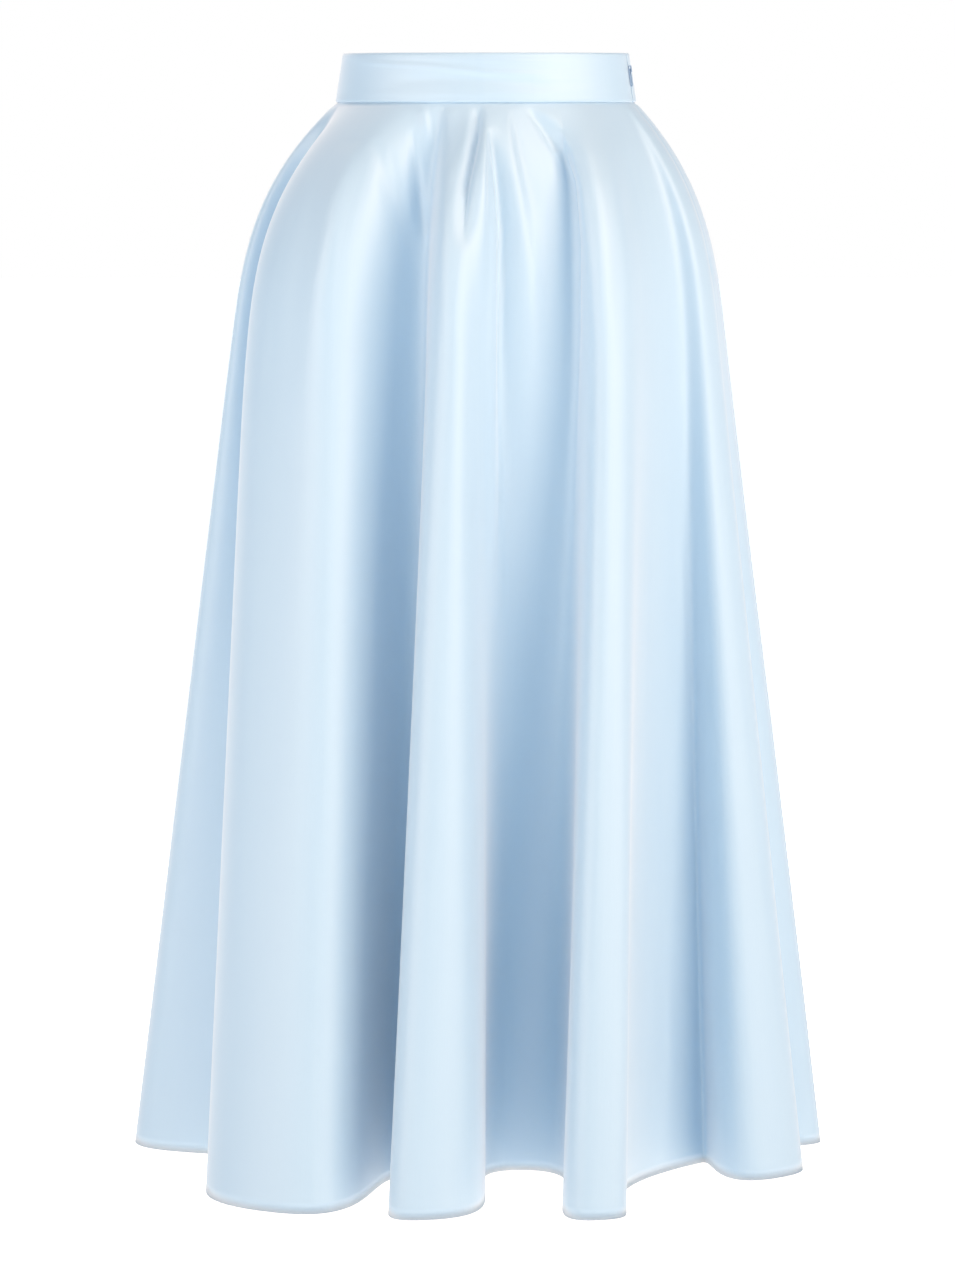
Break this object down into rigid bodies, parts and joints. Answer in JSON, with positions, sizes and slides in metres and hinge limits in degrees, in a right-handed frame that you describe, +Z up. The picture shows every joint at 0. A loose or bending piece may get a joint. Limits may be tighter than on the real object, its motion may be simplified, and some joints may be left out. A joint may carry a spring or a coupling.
{
  "type": "circle skirt",
  "caption": "Long circle skirt in pale blue satin with a plain waistband, soft deep folds to a level hem and a concealed side zip, filled out with no wearer.",
  "frame": {"origin": "middle of the waist opening, at half the height of the waistband", "axes": "+Z up along the garment, the front faces -Y, +X is the wearer's left side where the zip is"},
  "size_m": [0.6095, 0.551, 0.9603],
  "materials": {
    "satin_cloth": "soft satin",
    "zip_tape": "woven tape, matt",
    "zip_coil": "satin",
    "lacquered_zinc": "dyed lacquer"
  },
  "bodies": {
    "skirt": {"waistband": "satin_cloth", "front_panel": "satin_cloth", "back_panel": "satin_cloth", "zip_tape_front": "zip_tape", "zip_tape_back": "zip_tape", "zip_coil": "zip_coil", "zip_slider": "lacquered_zinc"},
    "pull_tab": {"zip_pull_tab": "lacquered_zinc"}
  },
  "joints": [
    {"name": "pull_tab_swing", "type": "hinge", "parent": "skirt", "child": "pull_tab", "pos_m": [0.12289, -0.0221, 0.00723], "axis": [-0.2863, -0.9581, 0], "range_deg": [0, 165]}
  ]
}
